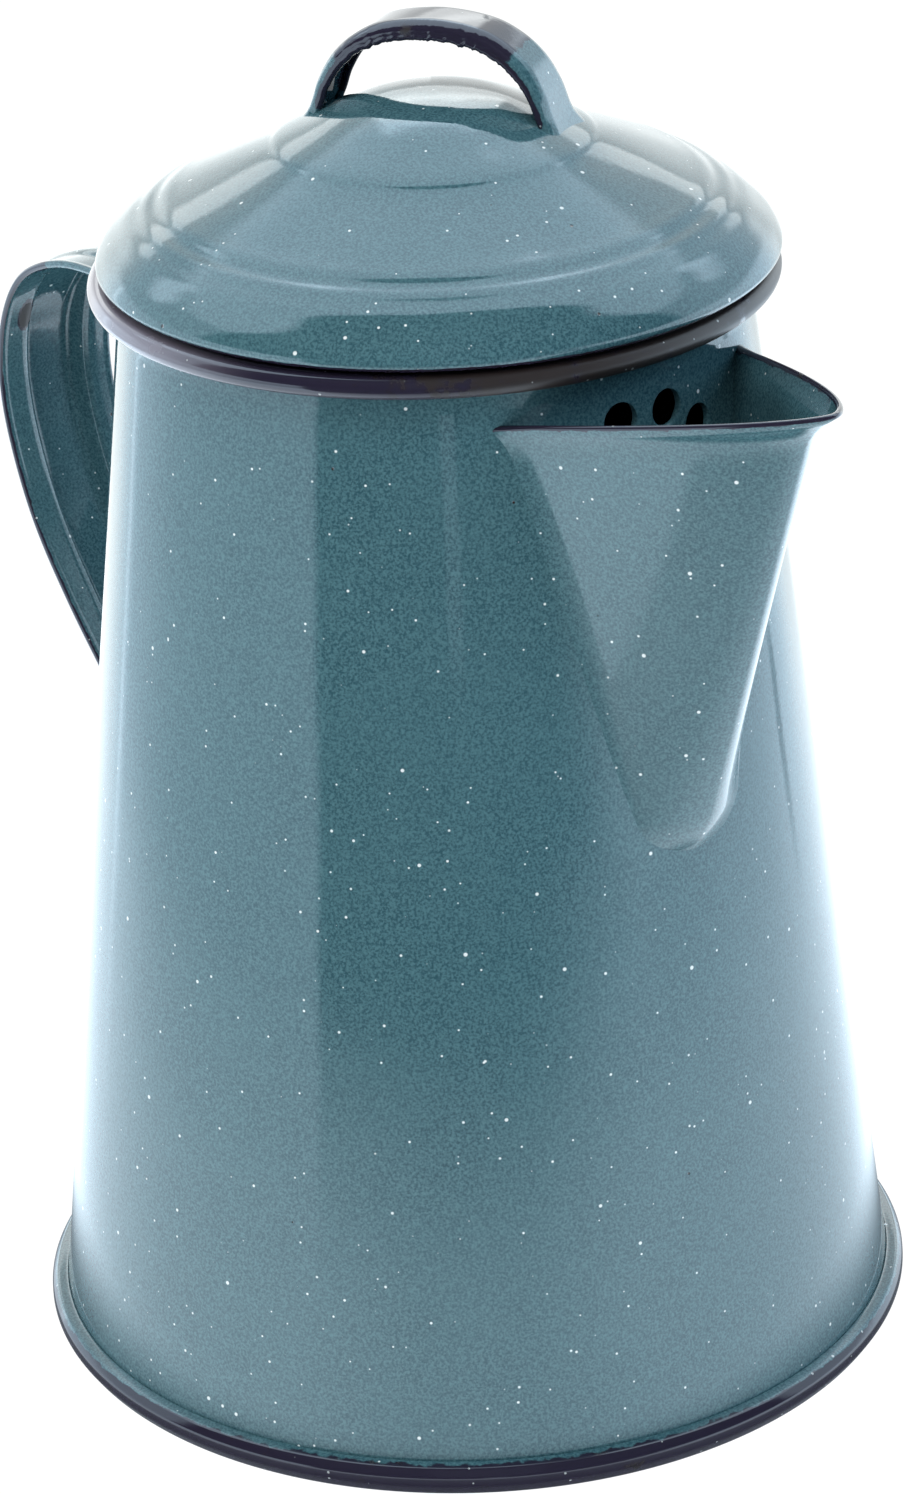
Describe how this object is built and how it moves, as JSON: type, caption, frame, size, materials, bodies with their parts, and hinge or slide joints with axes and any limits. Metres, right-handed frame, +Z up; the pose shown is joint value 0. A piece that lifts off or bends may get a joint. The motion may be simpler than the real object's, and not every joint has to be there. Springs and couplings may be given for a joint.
{
  "type": "stovetop coffee percolator",
  "caption": "Cone-shaped enamelled camp percolator with a strainer spout, strap handles, a lift-off domed lid and a lift-out pump and coffee basket.",
  "frame": {"origin": "on the pot's axis, in the plane it stands on", "axes": "+Z up along the pot's axis, +X towards the spout, -X towards the side handle"},
  "size_m": [0.2128, 0.15, 0.2305],
  "materials": {
    "enamel": "glossy speckled teal enamel",
    "dark_enamel": "glossy dark purple-brown enamel, worn at the edge",
    "aluminium": "spun satin aluminium"
  },
  "bodies": {
    "pot": {"body_shell": "enamel", "bottom_pan": "dark_enamel", "rim_ring": "dark_enamel", "spout": "enamel", "side_handle": "enamel"},
    "pump": {"pump_tube": "aluminium", "pump_foot": "aluminium", "basket_stop": "aluminium"},
    "basket": {"basket_cup": "aluminium", "basket_sleeve": "aluminium"},
    "cover": {"basket_cover": "aluminium"},
    "lid": {"lid_shell": "enamel", "lid_locating_ring": "dark_enamel", "lid_handle": "enamel"}
  },
  "joints": [
    {"name": "insert_lift", "type": "slide", "parent": "pot", "child": "pump", "axis": [0, 0, 1], "range_m": [0, 0.2]},
    {"name": "basket_lift", "type": "slide", "parent": "pump", "child": "basket", "axis": [0, 0, 1], "range_m": [0, 0.08]},
    {"name": "cover_lift", "type": "slide", "parent": "basket", "child": "cover", "axis": [0, 0, 1], "range_m": [0, 0.035]},
    {"name": "lid_lift", "type": "slide", "parent": "cover", "child": "lid", "axis": [0, 0, 1], "range_m": [0, 0.08]}
  ]
}
